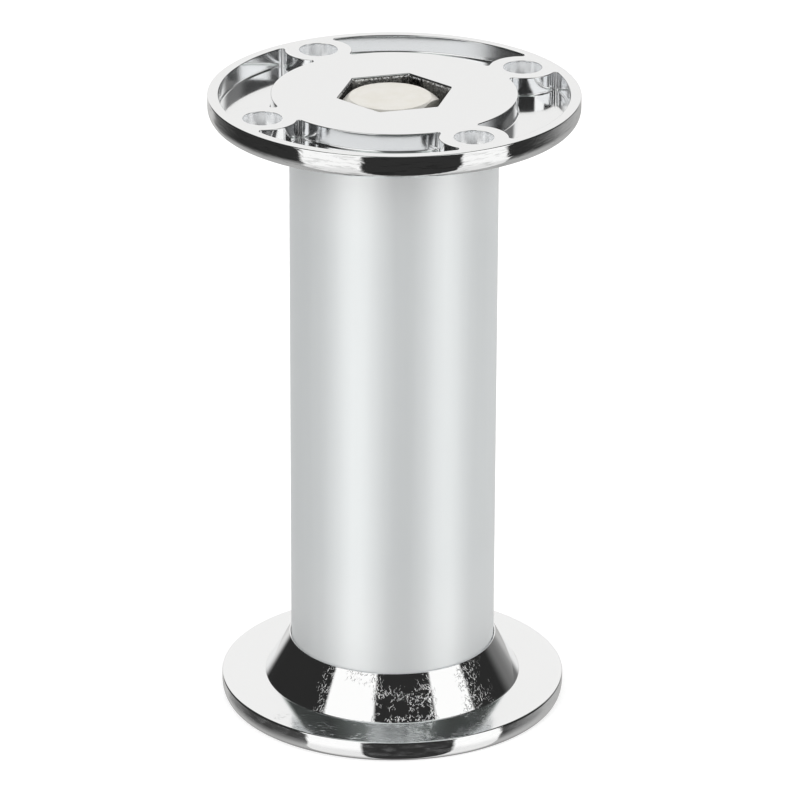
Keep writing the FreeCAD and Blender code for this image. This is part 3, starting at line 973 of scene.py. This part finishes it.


# The tube's drawing lines and grain, and its tones, with painted light that makes it brighter
# towards both ends, most of all under the plate.
DRAWN_LENGTHWISE = (1.0, 1.0, 0.02)
TUBE_LINES = {"scale": 2600.0}
TUBE_LINES_SHARE = 0.4
TUBE_GRAIN = {"scale": 7000.0, "detail": 1.0}
TUBE_GRAIN_SHARE = 0.6
TUBE_HAZE = {"scale": 500.0, "detail": 3.0, "cut": (0.3, 0.7, 0.47, 0.51)}
TUBE_SHADES = {"scale": 900.0, "detail": 3.0}
TUBE_TONES = ((0.893, 0.923, 0.93), (0.923, 0.953, 0.96))
TUBE_END_LIGHT_TONE = (0.97, 0.99, 0.995)
TUBE_TOP_LIGHT_FADE = (78.0, 95.0)
TUBE_FOOT_LIGHT_FADE = (30.0, 14.0, 0.0, 0.7)
TUBE_METALLIC = 0.62
TUBE_RELIEF = (0.35, 0.004)

ZINC_DENTS = {"scale": 420.0, "detail": 3.0}
ZINC_GRAIN = {"scale": 4200.0}
ZINC_GRAIN_SHARE = 0.25
ZINC_HAZE = (0.3, 0.7, 0.30, 0.40)
ZINC_CLOUDS = {"scale": 300.0, "detail": 4.0, "cut": (0.35, 0.68)}
ZINC_TONES = ((0.905, 0.88, 0.812), (0.945, 0.925, 0.875))
ZINC_METALLIC = 0.6
ZINC_RELIEF = (0.6, 0.04)


def anodised_material():
    """Satin anodised aluminium: a fine even grain with faint drawing lines along the tube."""
    finish = Finish("satin_anodised")
    drawn = finish.drawn_out(DRAWN_LENGTHWISE)
    grain = finish.product(finish.noise(**TUBE_GRAIN), TUBE_GRAIN_SHARE)
    relief = finish.total(grain, (finish.noise(**TUBE_LINES, at=drawn), TUBE_LINES_SHARE))
    haze = finish.noise(**TUBE_HAZE, at=drawn)
    height = finish.axes()[2]
    # Painted light: the tone turns paler under the plate, standing in for light that the plate
    # throws back on the tube, and more faintly above the collar.
    ends = finish.math("MAXIMUM", finish.fade(height, *TUBE_TOP_LIGHT_FADE),
                       finish.fade(height, *TUBE_FOOT_LIGHT_FADE))
    tone = finish.tint(
        (*TUBE_TONES[0], 1.0), (finish.noise(**TUBE_SHADES, at=drawn), TUBE_TONES[1]),
        (ends, TUBE_END_LIGHT_TONE))
    return finish.done(tone, TUBE_METALLIC, haze, relief, TUBE_RELIEF)


def zinc_material():
    """Dull yellowish zinc plate over forged steel, slightly uneven and speckled."""
    finish = Finish("dull_zinc")
    grain = finish.noise(**ZINC_GRAIN)
    relief = finish.total(finish.noise(**ZINC_DENTS), (grain, ZINC_GRAIN_SHARE))
    tone = finish.tint((*ZINC_TONES[0], 1.0), (finish.noise(**ZINC_CLOUDS), ZINC_TONES[1]))
    return finish.done(tone, ZINC_METALLIC, finish.ramp(grain, *ZINC_HAZE), relief, ZINC_RELIEF)


# The studio as seen from the leg, in degrees: azimuths from the camera's side, + to its right, and
# elevations. A fade runs from 0 at its first value to 1 at its second, or between the two levels
# that follow them.
# The two white panels: where they start and end high up, and where lower down.
LEFT_PANEL = (-65.0, -17.5)
LEFT_PANEL_LOW = (-59.5, -20.5)
RIGHT_PANEL = (41.5, 80.0)
RIGHT_PANEL_LOW = (42.3, 73.5)
OUTER_TAPER = (25.0, 12.0)
INNER_TAPER = (15.0, 0.0)
RIGHT_PANEL_FOOT = (-22.5, -25.0)
RIGHT_PANEL_FOOT_END = 79.0
PANEL_SPREAD = (-27.0, -70.0, 0.0, 26.0)
PANEL_TOP = (77.0, 67.0)
PANEL_LEVEL = 1.06
# The gap between them, wider below.
GAP_SPREAD = (-27.0, -66.0)
GAP_SPREAD_LEFT = -5.0
GAP_SPREAD_RIGHT = 10.0
# The dark room, its grey sides, the white wall at the back and the ceiling.
DARK_LEVEL = (5.0, -15.0, 0.024, 0.031)
RIGHT_GREY = (114.0, 129.0, 0.0, 0.14)
LEFT_GREY = (-140.0, -152.0, 0.0, 0.50)
BACK_WALL_EDGE = (144.0, 158.0)
BACK_WALL_LEVEL = (19.0, 26.0, 0.90, 0.935)
CEILING = (32.0, 42.0)
CEILING_EDGE = (106.0, 128.0)
OVERHEAD = (57.0, 66.0)
OVERHEAD_LEVEL = (62.0, 86.0, 0.052, 0.20)
# The table: at the sides, towards the back, in the gap, below the panels and close to the leg.
TABLE_SIDE = (-21.0, -57.0)
TABLE_SIDE_LEVEL = 0.45
TABLE_RISE_RIGHT = (84.0, 154.0, 0.0, 36.0)
TABLE_RISE_LEFT = (-108.0, -160.0, 0.0, 24.0)
TABLE_IN_GAP = (-76.0, -86.0)
TABLE_FRONT = (-27.0, -42.0)
TABLE_FRONT_LEVEL = 0.85
TABLE_NEAR = (-58.0, -75.0, 1.0, 0.80)
EDGE_SOFTNESS = 1.6
STUDIO_TONE = (1.0, 0.99, 0.975)
CEILING_TONE = (0.93, 1.0, 0.95)
EVEN_LIGHT = 0.75
WHITE = (1.0, 1.0, 1.0, 1.0)


class Studio(Nodes):
    """The panels, dark flags, white wall and table that the chrome mirrors."""

    def __init__(self, world):
        super().__init__(world)
        way = self.add("ShaderNodeTexCoord").outputs["Generated"]
        turned = self.add("ShaderNodeVectorRotate", {
            "Vector": way, "Angle": -math.radians(CAMERA_AZIMUTH),
        }, rotation_type="Z_AXIS").outputs[0]
        x, y, z = self.add("ShaderNodeSeparateXYZ", {0: turned}).outputs
        front = self.math("MULTIPLY", y, -1.0)
        self.azimuth = self.math("DEGREES", self.math("ARCTAN2", x, front))
        self.aside = self.math("ABSOLUTE", self.azimuth)
        self.elevation = self.math("DEGREES", self.math("ARCSINE", z))
        self.near = self.rising(*TABLE_NEAR)

    def rising(self, *fade):
        """A ramp over the elevation."""
        return self.ramp(self.elevation, *fade)

    def between(self, start, end):
        """The mask of a stretch of azimuths."""
        after = self.math("SUBTRACT", self.azimuth, start)
        before = self.math("SUBTRACT", self.azimuth, end)
        return self.product(self.ramp(after, -EDGE_SOFTNESS, EDGE_SOFTNESS),
                            self.ramp(before, EDGE_SOFTNESS, -EDGE_SOFTNESS))

    def ceiling(self):
        """The mask of the ceiling, which reaches lower at the back."""
        low = self.product(self.rising(*CEILING), self.ramp(self.aside, *CEILING_EDGE))
        return self.math("MAXIMUM", low, self.rising(*OVERHEAD))

    def room(self, ceiling):
        """The brightness of the room itself."""
        level = self.math("ADD", self.ramp(self.azimuth, *RIGHT_GREY),
                          self.ramp(self.azimuth, *LEFT_GREY))
        level = self.math("ADD", level, self.rising(*DARK_LEVEL))
        wall = self.ramp(self.aside, *BACK_WALL_EDGE)
        level = self.over(level, wall, self.rising(*BACK_WALL_LEVEL))
        return self.over(level, ceiling, self.rising(*OVERHEAD_LEVEL))

    def gap(self):
        """The azimuths where the gap between the panels starts and ends."""
        spread = self.rising(*GAP_SPREAD)
        left = self.rising(*INNER_TAPER, LEFT_PANEL[1], LEFT_PANEL_LOW[1])
        right = self.rising(*INNER_TAPER, RIGHT_PANEL[0], RIGHT_PANEL_LOW[0])
        return (self.total(left, (spread, GAP_SPREAD_LEFT)),
                self.total(right, (spread, GAP_SPREAD_RIGHT)))

    def table(self, gap):
        """The mask of the table, which comes into view below the horizon, sooner at the back."""
        rise = self.math("ADD", self.ramp(self.azimuth, *TABLE_RISE_RIGHT, kind="LINEAR"),
                         self.ramp(self.azimuth, *TABLE_RISE_LEFT, kind="LINEAR"))
        table = self.ramp(self.math("SUBTRACT", self.elevation, rise), *TABLE_SIDE)
        return self.over(table, self.between(*gap), self.rising(*TABLE_IN_GAP))

    def panels(self, gap):
        """The mask of the two panels."""
        start = self.rising(*OUTER_TAPER, LEFT_PANEL[0], LEFT_PANEL_LOW[0])
        end = self.rising(*OUTER_TAPER, RIGHT_PANEL[1], RIGHT_PANEL_LOW[1])
        foot = self.rising(*RIGHT_PANEL_FOOT)
        end = self.over(end, foot, RIGHT_PANEL_FOOT_END)
        outward = self.rising(*PANEL_SPREAD)
        start = self.math("SUBTRACT", start, outward)
        end = self.math("ADD", end, outward)
        both = self.math("ADD", self.between(start, gap[0]), self.between(gap[1], end))
        return self.product(both, self.rising(*PANEL_TOP))


def studio_world():
    """White to the camera and an even light on the leg; glossy rays alone see the studio."""
    world = bpy.data.worlds.new("studio")
    bpy.context.scene.world = world
    studio = Studio(world)
    ceiling = studio.ceiling()
    gap = studio.gap()
    level = studio.over(studio.room(ceiling), studio.table(gap),
                        studio.product(studio.near, TABLE_SIDE_LEVEL))
    panel = studio.over(PANEL_LEVEL, studio.rising(*TABLE_FRONT),
                        studio.product(studio.near, TABLE_FRONT_LEVEL))
    level = studio.over(level, studio.panels(gap), panel)
    tone = studio.tint((*STUDIO_TONE, 1.0), (ceiling, CEILING_TONE))

    def background(colour, strength):
        lit = studio.add("ShaderNodeBackground", {"Color": colour, "Strength": strength})
        return lit.outputs[0]

    path = studio.add("ShaderNodeLightPath").outputs
    lit = studio.add("ShaderNodeMixShader", {
        0: path["Is Glossy Ray"], 1: background(WHITE, EVEN_LIGHT), 2: background(tone, level)})
    seen = studio.add("ShaderNodeMixShader", {
        0: path["Is Camera Ray"], 1: lit.outputs[0], 2: background(WHITE, 1.0)})
    studio.add("ShaderNodeOutputWorld", {"Surface": seen.outputs[0]})


# The table top under the leg, in metres, and the lamps: name, azimuth from the camera's side,
# elevation, distance, size and power.
TABLE_REACH = 1.2
TABLE_TONE = (0.62, 0.62, 0.62, 1.0)
TABLE_GLOW = 0.55
LAMPS = (
    ("key", -40.0, 30.0, 1.0, 0.7, 4.5),
    ("fill", 85.0, 25.0, 1.1, 0.8, 5.0),
)
LAMP_AIM_HEIGHT = 0.05
CLIP_START = 0.01


def build_floor():
    """A white table top that keeps the leg's soft shadow and leaves the studio to reflections."""
    mesh = bpy.data.meshes.new("floor")
    ways = ((-1, -1), (1, -1), (1, 1), (-1, 1))
    mesh.from_pydata([(x * TABLE_REACH, y * TABLE_REACH, 0) for x, y in ways], [], [(0, 1, 2, 3)])
    floor = add_object("floor", mesh)
    material = bpy.data.materials.new("table_white")
    nodes = Nodes(material)
    path = nodes.add("ShaderNodeLightPath")
    matt = nodes.add("ShaderNodeBsdfDiffuse", {"Color": TABLE_TONE})
    glow = nodes.add("ShaderNodeEmission", {"Color": WHITE, "Strength": TABLE_GLOW})
    both = nodes.add("ShaderNodeAddShader", {0: matt.outputs[0], 1: glow.outputs[0]})
    clear = nodes.add("ShaderNodeBsdfTransparent")
    hidden = nodes.math("MAXIMUM", path.outputs["Is Glossy Ray"],
                        nodes.add("ShaderNodeNewGeometry").outputs["Backfacing"])
    surface = nodes.add("ShaderNodeMixShader", {0: hidden, 1: both.outputs[0], 2: clear.outputs[0]})
    nodes.add("ShaderNodeOutputMaterial", {"Surface": surface.outputs[0]})
    mesh.materials.append(material)


def direction(azimuth, elevation):
    """The way from the leg to a point round it; the azimuth is from the camera's side."""
    a = math.radians(azimuth + CAMERA_AZIMUTH)
    e = math.radians(elevation)
    return Vector((math.sin(a) * math.cos(e), -math.cos(a) * math.cos(e), math.sin(e)))


def add_lamp(name, azimuth, elevation, distance, size, power):
    """A square lamp aimed at the leg, unseen in reflections."""
    light = bpy.data.lights.new(name, "AREA")
    light.size = size
    light.energy = power
    lamp = add_object(name, light)
    way = direction(azimuth, elevation)
    lamp.location = Vector((0, 0, LAMP_AIM_HEIGHT)) + way * distance
    lamp.rotation_euler = (-way).to_track_quat("-Z", "Y").to_euler()
    lamp.visible_glossy = False


def add_camera():
    """The camera, set up as the perspective of the photograph asks."""
    data = bpy.data.cameras.new("camera")
    data.sensor_width = SENSOR_MM
    data.lens = SENSOR_MM * CAMERA_FOCAL_PX / FRAME_PX
    data.shift_x = CENTRE_OFFSET_PX / FRAME_PX
    data.clip_start = CLIP_START
    camera = add_object("camera", data)
    back = direction(0.0, CAMERA_ELEVATION)
    camera.location = Vector((0, 0, CAMERA_AIM_HEIGHT * MM)) + back * CAMERA_DISTANCE * MM
    turn = (-back).to_track_quat("-Z", "Y")
    camera.rotation_mode = "QUATERNION"
    camera.rotation_quaternion = turn @ Quaternion((0, 0, 1), math.radians(CAMERA_ROLL))
    bpy.context.scene.camera = camera


chrome = chrome_material()
anodised = anodised_material()
zinc = zinc_material()
pieces = (
    (build_plate(chrome), "chrome"),
    (build_tube(anodised), "anodised_aluminium"),
    (build_base(chrome), "chrome"),
    (build_bolt(zinc), "zinc_plated_steel"),
    (build_washer(zinc), "zinc_plated_steel"),
    (build_nut(zinc), "zinc_plated_steel"),
)

studio_world()
build_floor()
for settings in LAMPS:
    add_lamp(*settings)
add_camera()

bpy.context.scene.view_settings.view_transform = "Standard"
